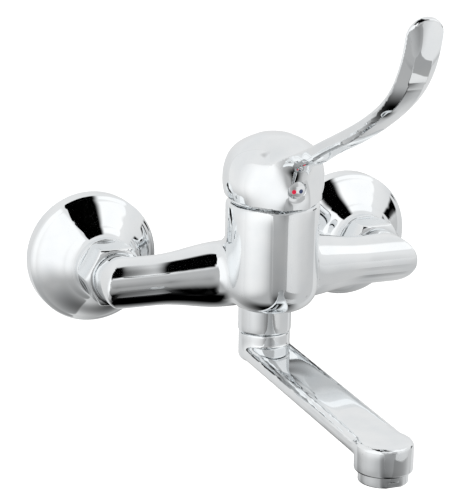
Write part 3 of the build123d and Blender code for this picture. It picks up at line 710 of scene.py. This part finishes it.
def through(points: list[tuple[float, float]], start: tuple[float, float],
            end: tuple[float, float], steps: int = 24) -> list[tuple[float, float]]:
    """Smooth line through points, with given directions at its ends.

    Args:
        points: Points on the line.
        start: Direction at the first point.
        end: Direction at the last point.
        steps: Parts of each stretch.

    Returns:
        Points of the line, the given ones among them.
    """
    places = [Vector(p) for p in points]
    chords = [(b - a).length for a, b in zip(places, places[1:])]
    slopes = [Vector(start).normalized()]
    for number in range(1, len(places) - 1):
        before = (places[number] - places[number - 1]) / chords[number - 1]
        after = (places[number + 1] - places[number]) / chords[number]
        weight = chords[number - 1] / (chords[number - 1] + chords[number])
        slopes.append(before * (1 - weight) + after * weight)
    slopes.append(Vector(end).normalized())
    line = []
    for number, chord in enumerate(chords):
        a, b = places[number], places[number + 1]
        for step in range(steps):
            t = step / steps
            line.append(tuple(
                a * (2 * t ** 3 - 3 * t ** 2 + 1) + slopes[number] * chord * (t ** 3 - 2 * t ** 2 + t)
                + b * (3 * t ** 2 - 2 * t ** 3) + slopes[number + 1] * chord * (t ** 3 - t ** 2)))
    line.append(tuple(places[-1]))
    return line


@dataclass
class WallFlange:
    """Spun wall flange: rim, bell and neck, open at the back. Sizes in millimetres."""

    side: str
    centre_x: float
    radius: float = 35.0
    rim_straight: float = 6.6
    shoulder: tuple[float, float] = (32.6, 10.0)
    waist: tuple[float, float] = (20.5, 20.5)
    neck_radius: float = 16.3
    neck_start: float = 26.8
    depth: float = 29.8
    wall: float = 1.4
    bore_radius: float = 13.27
    mouth_round: float = 0.4
    steps: int = 192

    def bell(self, inset: float) -> list[tuple[float, float]]:
        """Draw the line of the bell from the rim to the neck.

        Args:
            inset: How far the line is drawn in from the outer face.

        Returns:
            Radius and depth of each point.
        """
        line = [(self.radius, self.rim_straight), self.shoulder, self.waist,
                (self.neck_radius, self.neck_start)]
        return through([(x - inset, z - inset) for x, z in line], (0, 1), (0, 1))

    def build(self, tree: bpy.types.NodeTree) -> bpy.types.Object:
        """Turn the flange and hand it to the fixed body.

        Args:
            tree: The lathe tree.

        Returns:
            The finished flange.
        """
        outer = [(self.radius, 0.0), *self.bell(0.0)]
        mouth = rounded([(self.neck_radius, self.neck_start, 0),
                         (self.neck_radius, self.depth, self.mouth_round),
                         (self.bore_radius, self.depth, self.mouth_round),
                         (self.bore_radius, self.neck_start - self.wall, 0)])
        inner = list(reversed([(self.radius - self.wall, 0.0), *self.bell(self.wall)]))
        profile = [*outer, *mouth[1:], *inner]
        name = f"{self.side}_flange"
        return TurnedPiece(f"{name}_spun", name, Body.FIXED, profile, Axis.FROM_WALL,
                           (self.centre_x, 0.0, 0.0), steps=self.steps).build(tree)


@dataclass
class IndexButton:
    """Domed chrome cap in the nose, with its plug and two let-in spots of enamel. Sizes in millimetres."""

    centre: tuple[float, float, float] = (0.0, -102.8, 54.8)
    radius: float = 4.5
    rim_height: float = 1.85
    crown_height: float = 2.6
    plug_radius: float = 2.9
    plug_length: float = 5.0
    rim_round: float = 0.3
    foot_round: float = 0.15
    rim_inset: float = 0.6
    rim_rise: float = 0.1
    dome_steps: int = 16
    dome_left_out: int = 3
    steps: int = 96

    def build(self, tree: bpy.types.NodeTree) -> bpy.types.Object:
        """Turn the cap and its plug and hand them to the lever.

        Args:
            tree: The lathe tree.

        Returns:
            The finished cap.
        """
        rise = self.crown_height - self.rim_height
        ball = (self.radius ** 2 + rise ** 2) / (2 * rise)
        reach = math.asin(self.radius / ball)
        turns = [reach * step / self.dome_steps for step in range(self.dome_steps + 1)]
        dome = [(ball * math.sin(turn), self.crown_height - ball * (1 - math.cos(turn))) for turn in turns]
        # The dome's last points give way to the rounded rim.
        dome = dome[:-self.dome_left_out]
        head = rounded([(self.radius - self.rim_inset, self.rim_height + self.rim_rise, 0),
                        (self.radius, self.rim_height, self.rim_round),
                        (self.radius, 0.0, self.foot_round), (self.plug_radius, 0.0, 0)])
        plug = [(self.plug_radius, -self.plug_length), (0.0, -self.plug_length)]
        return TurnedPiece("index_button_cap", "index_button", Body.LEVER, [*dome, *head[1:], *plug],
                           Axis.FROM_WALL, self.centre, INDEX_CAP, steps=self.steps).build(tree)


class CadPieces:
    """All CAD nodes in their real finishes. Those that a finished piece replaces are hidden."""

    # What isn't named here is chrome plated. The unions and tail bushes are plated outside like the
    # rest, because their ends show at the nuts.
    unplated: dict[Finish, tuple[str, ...]] = {
        PLAIN_BRASS: ("cartridge_nut", "lever_stem"),
        SEAL_RUBBER: ("left_union_washer", "right_union_washer", "cartridge_base_seals", "spout_seals",
                      "aerator_washer"),
        WHITE_ACETAL: ("cartridge_base", "cartridge_housing", "cartridge_rotor", "disc_carrier",
                       "spout_slide_ring", "aerator_insert"),
        LAPPED_CERAMIC: ("fixed_ceramic_disc", "moving_ceramic_disc"),
        TURNED_STEEL: ("stem_pin", "grub_screw"),
    }

    def build(self) -> None:
        """Dress the CAD nodes."""
        finish_of = {name: finish for finish, names in self.unplated.items() for name in names}
        for name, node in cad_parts.items():
            finish = finish_of.get(name, BRIGHT_CHROME)
            WORKSHOP.dress(node, finish)
            log.info("%s has its solid in %s", name, finish.name)


@dataclass(frozen=True)
class StudioCard:
    """A pale or dark card near the tap, seen only in the plating. Metres and degrees."""

    name: str
    place: tuple[float, float, float]
    azimuth: float
    elevation: float
    half_width: float
    half_height: float
    tone: float
    soft: float = 0.05

    def material(self) -> bpy.types.Material:
        """Make the card's even glow, which fades at its edges.

        Returns:
            A material on the card's own coordinates.
        """
        material, tree = blank_material(f"{self.name}_card")
        place = add_node(tree, "ShaderNodeTexCoord")
        split = add_node(tree, "ShaderNodeSeparateXYZ", links={0: place.outputs["Object"]})
        parts = []
        for axis, half in (("X", self.half_width), ("Y", self.half_height)):
            size = add_node(tree, "ShaderNodeMath", {"operation": "ABSOLUTE"}, {0: split.outputs[axis]})
            parts.append(add_node(tree, "ShaderNodeMapRange",
                                  {"interpolation_type": "SMOOTHSTEP", ("From Min",): half + self.soft / 2,
                                   ("From Max",): half - self.soft / 2}, {"Value": size.outputs[0]}))
        mask = add_node(tree, "ShaderNodeMath", {"operation": "MULTIPLY"},
                        {0: parts[0].outputs[0], 1: parts[1].outputs[0]})
        clear = add_node(tree, "ShaderNodeBsdfTransparent")
        glow = add_node(tree, "ShaderNodeEmission",
                        {("Color",): (self.tone,) * 3 + (1.0,), ("Strength",): 1.0})
        mixed = add_node(tree, "ShaderNodeMixShader", links={0: mask.outputs[0], 1: clear.outputs[0],
                                                             2: glow.outputs[0]})
        add_node(tree, "ShaderNodeOutputMaterial", links={"Surface": mixed.outputs[0]})
        return material

    def build(self) -> None:
        """Stand the card in the studio, where only the plating sees it."""
        a, e = math.radians(self.azimuth), math.radians(self.elevation)
        ahead = Vector((math.sin(a) * math.cos(e), math.cos(a) * math.cos(e), math.sin(e)))
        level = Vector((math.cos(a), -math.sin(a), 0.0))
        card = flat_sheet(f"{self.name}_card", self.half_width + self.soft / 2,
                          self.half_height + self.soft / 2)
        matrix = Matrix((level, level.cross(ahead), ahead)).transposed().to_4x4()
        matrix.translation = Vector(self.place)
        card.matrix_world = matrix
        card.data.materials.append(self.material())
        for view in ("camera", "diffuse", "transmission", "volume_scatter", "shadow"):
            setattr(card, f"visible_{view}", False)


@dataclass
class Studio:
    """Plain pale floor, white surroundings and the cards that the plating mirrors."""

    floor_z: float = -0.42
    floor_half: float = 6.0
    floor_roughness: float = 0.9
    fibres_per_metre: float = 900.0
    fibre_height: float = 0.02 * MM
    plain_strength: float = 1.05
    lamp_strength: float = 0.8
    lamp_spread_degrees: float = 60.0
    # Tone of the surroundings by elevation in degrees.
    tones: tuple[tuple[float, float], ...] = (
        (-90, 1.3), (-60, 0.6), (-35, 0.7), (-18, 0.75), (10, 0.8), (30, 0.87), (90, 0.82))
    cards: tuple[StudioCard, ...] = (
        StudioCard("front_grey", (-0.53, -1.44, -0.39), -166, 8, 1.3, 1.4, 0.5, 0.4),
        StudioCard("front_white", (0.83, -0.51, -0.19), 160, -49, 0.69, 0.4, 0.85, 0.01),
        StudioCard("left_box", (-0.7, -1.2, 0.65), -95, -9, 1.15, 1.1, 1.1, 0.55),
        StudioCard("right_box", (1.5, -0.8, 1.75), 70, 97, 0.85, 1.45, 1.1, 0.35),
        StudioCard("overhead_gap", (-0.2, -0.38, 0.87), 2, 93, 0.21, 0.39, 0, 0.01),
        StudioCard("right_stand", (1.04, 0.05, 0.1), 80, -4, 0.16, 0.1, 0, 0.07),
        StudioCard("low_black", (0.17, -0.41, -0.45), -29, -60, 0.15, 0.55, 0, 0.2),
        StudioCard("front_black", (-0.01, -0.34, -0.31), 154, 5, 0.1, 0.22, 0, 0.2),
        StudioCard("low_left", (-0.25, -0.4, -1), -88, -13, 0.83, 0.84, 0.45, 0.3),
        StudioCard("low_right", (0.9, -0.04, -0.47), 161, 4, 0.8, 0.45, 0.6, 0.2),
        StudioCard("right_strip", (0.33, -0.42, -0.26), 131, -39, 0.35, 0.07, 0.38, 0.01),
        StudioCard("overhead_black", (-0.03, -0.23, 0.42), 175, 73, 0.12, 0.23, 0, 0.08),
        StudioCard("left_wall", (-0.85, 0.31, -0.24), -47, 16, 0.43, 2.4, 0.87, 0.02),
        StudioCard("wall_black", (0.06, 0.07, -0.06), 66, -25, 0.06, 0.06, 0, 0.15),
        StudioCard("front_spot", (0.05, -0.54, 0.01), 182, 9, 0.06, 0.06, 0.15, 0.25),
    )

    def floor(self) -> None:
        """Lay the floor, which is pale and doesn't show in the plating."""
        floor = flat_sheet("floor", self.floor_half, self.floor_half, self.floor_z)
        material, tree = blank_material("pale_studio_paper")
        place = add_node(tree, "ShaderNodeTexCoord")
        fibre = add_node(tree, "ShaderNodeTexNoise", {("Scale",): self.fibres_per_metre},
                         {"Vector": place.outputs["Object"]})
        bump = add_node(tree, "ShaderNodeBump", {("Distance",): self.fibre_height},
                        {"Height": fibre.outputs["Fac"]})
        shader = add_node(tree, "ShaderNodeBsdfPrincipled",
                          {("Base Color",): linear_colour("#FBFBFB"), ("Roughness",): self.floor_roughness},
                          {"Normal": bump.outputs[0]})
        add_node(tree, "ShaderNodeOutputMaterial", links={"Surface": shader.outputs[0]})
        floor.data.materials.append(material)
        floor.visible_glossy = False

    def surroundings(self) -> None:
        """Fill the world with the studio's tones."""
        world = bpy.data.worlds.new("studio_tent")
        bpy.context.scene.world = world
        world.use_nodes = True
        tree = world.node_tree
        tree.nodes.clear()
        place = add_node(tree, "ShaderNodeTexCoord")
        unit = add_node(tree, "ShaderNodeVectorMath", {"operation": "NORMALIZE"},
                        {0: place.outputs["Generated"]})
        split = add_node(tree, "ShaderNodeSeparateXYZ", links={0: unit.outputs[0]})
        angle = add_node(tree, "ShaderNodeMath", {"operation": "ARCSINE"}, {0: split.outputs["Z"]})
        share = add_node(tree, "ShaderNodeMapRange",
                         {("From Min",): -math.pi / 2, ("From Max",): math.pi / 2},
                         {"Value": angle.outputs[0]})
        ramp = add_node(tree, "ShaderNodeValToRGB", links={0: share.outputs[0]})
        ramp.color_ramp.interpolation = "LINEAR"
        while len(ramp.color_ramp.elements) < len(self.tones):
            ramp.color_ramp.elements.new(0.5)
        for element, (elevation, tone) in zip(ramp.color_ramp.elements, self.tones):
            element.position = (elevation + 90) / 180
            element.color = (tone, tone, tone, 1)
        seen = add_node(tree, "ShaderNodeLightPath")
        gloss = add_node(tree, "ShaderNodeBackground", links={"Color": ramp.outputs[0]})
        plain = add_node(tree, "ShaderNodeBackground",
                         {("Color",): (1, 1, 1, 1), ("Strength",): self.plain_strength})
        mixed = add_node(tree, "ShaderNodeMixShader", links={
            0: seen.outputs["Is Glossy Ray"], 1: plain.outputs[0], 2: gloss.outputs[0]})
        add_node(tree, "ShaderNodeOutputWorld", links={"Surface": mixed.outputs[0]})

    def lamp(self) -> None:
        """Hang the soft overhead light that lifts the floor to white."""
        data = bpy.data.lights.new("overhead_light", "SUN")
        data.energy = self.lamp_strength
        data.angle = math.radians(self.lamp_spread_degrees)
        lamp = bpy.data.objects.new("overhead_light", data)
        lamp.visible_glossy = False
        bpy.context.scene.collection.objects.link(lamp)

    def build(self) -> None:
        """Set up the studio."""
        self.floor()
        self.surroundings()
        for card in self.cards:
            card.build()
        self.lamp()
        bpy.context.scene.view_settings.view_transform = "Standard"


@dataclass(frozen=True)
class PhotoCamera:
    """Camera at the photograph's place, fitted to the tap's known sizes."""

    place_mm: tuple[float, float, float] = (-414.6, -1027.2, 311.6)
    turn: float = 22.309
    drop: float = 15.925
    roll: float = 0.985
    focal_px: float = 2082.54
    sensor_mm: float = 36.0
    nearest: float = 0.01

    def build(self) -> None:
        """Make the camera and give it to the scene."""
        turn, drop, roll = (math.radians(v) for v in (self.turn, self.drop, self.roll))
        ahead = Vector((math.sin(turn) * math.cos(drop), math.cos(turn) * math.cos(drop), -math.sin(drop)))
        right = Vector((math.cos(turn), -math.sin(turn), 0.0))
        up = right.cross(ahead)
        across = right * math.cos(roll) + up * math.sin(roll)
        upward = up * math.cos(roll) - right * math.sin(roll)
        data = bpy.data.cameras.new("photo_camera")
        data.sensor_width = self.sensor_mm
        data.lens = self.focal_px * self.sensor_mm / max(PHOTO_WIDTH, PHOTO_HEIGHT)
        data.clip_start = self.nearest
        camera = bpy.data.objects.new("photo_camera", data)
        matrix = Matrix((across, upward, -ahead)).transposed().to_4x4()
        matrix.translation = Vector(self.place_mm) * MM
        camera.matrix_world = matrix
        bpy.context.scene.collection.objects.link(camera)
        bpy.context.scene.camera = camera


def main() -> None:
    """Build every sub-assembly in order."""
    logging.basicConfig(level=logging.INFO, format="%(name)s: %(message)s")
    PhotoCamera().build()
    Studio().build()
    CadPieces().build()
    lathe = lathe_tree()
    for side, centre in (("left", -INLET_X_MM), ("right", INLET_X_MM)):
        WallFlange(side, centre).build(lathe)
        PolishedCasting(f"{side}_union_nut", Body.FIXED, cell_mm=0.35, ease_mm=0.25, rounds=10).build()
    PolishedCasting("body_casting", Body.FIXED, cell_mm=0.7, ease_mm=0.5).build()
    PolishedCasting("lever_handle", Body.LEVER, cell_mm=0.55, ease_mm=0.4, rounds=120,
                    soft_from_mm=-114.0).build()
    PolishedCasting("spout", Body.SPOUT_ARM, cell_mm=0.5, ease_mm=0.35).build()
    PolishedCasting("spout_nut", Body.FIXED, cell_mm=0.4, ease_mm=0.2).build()
    PolishedCasting("cover_ring", Body.FIXED, cell_mm=0.4, ease_mm=0.2).build()
    PolishedCasting("aerator_housing", Body.SPOUT_ARM, cell_mm=0.3, ease_mm=0.15).build()
    IndexButton().build(lathe)


if __name__ == "__main__":
    main()
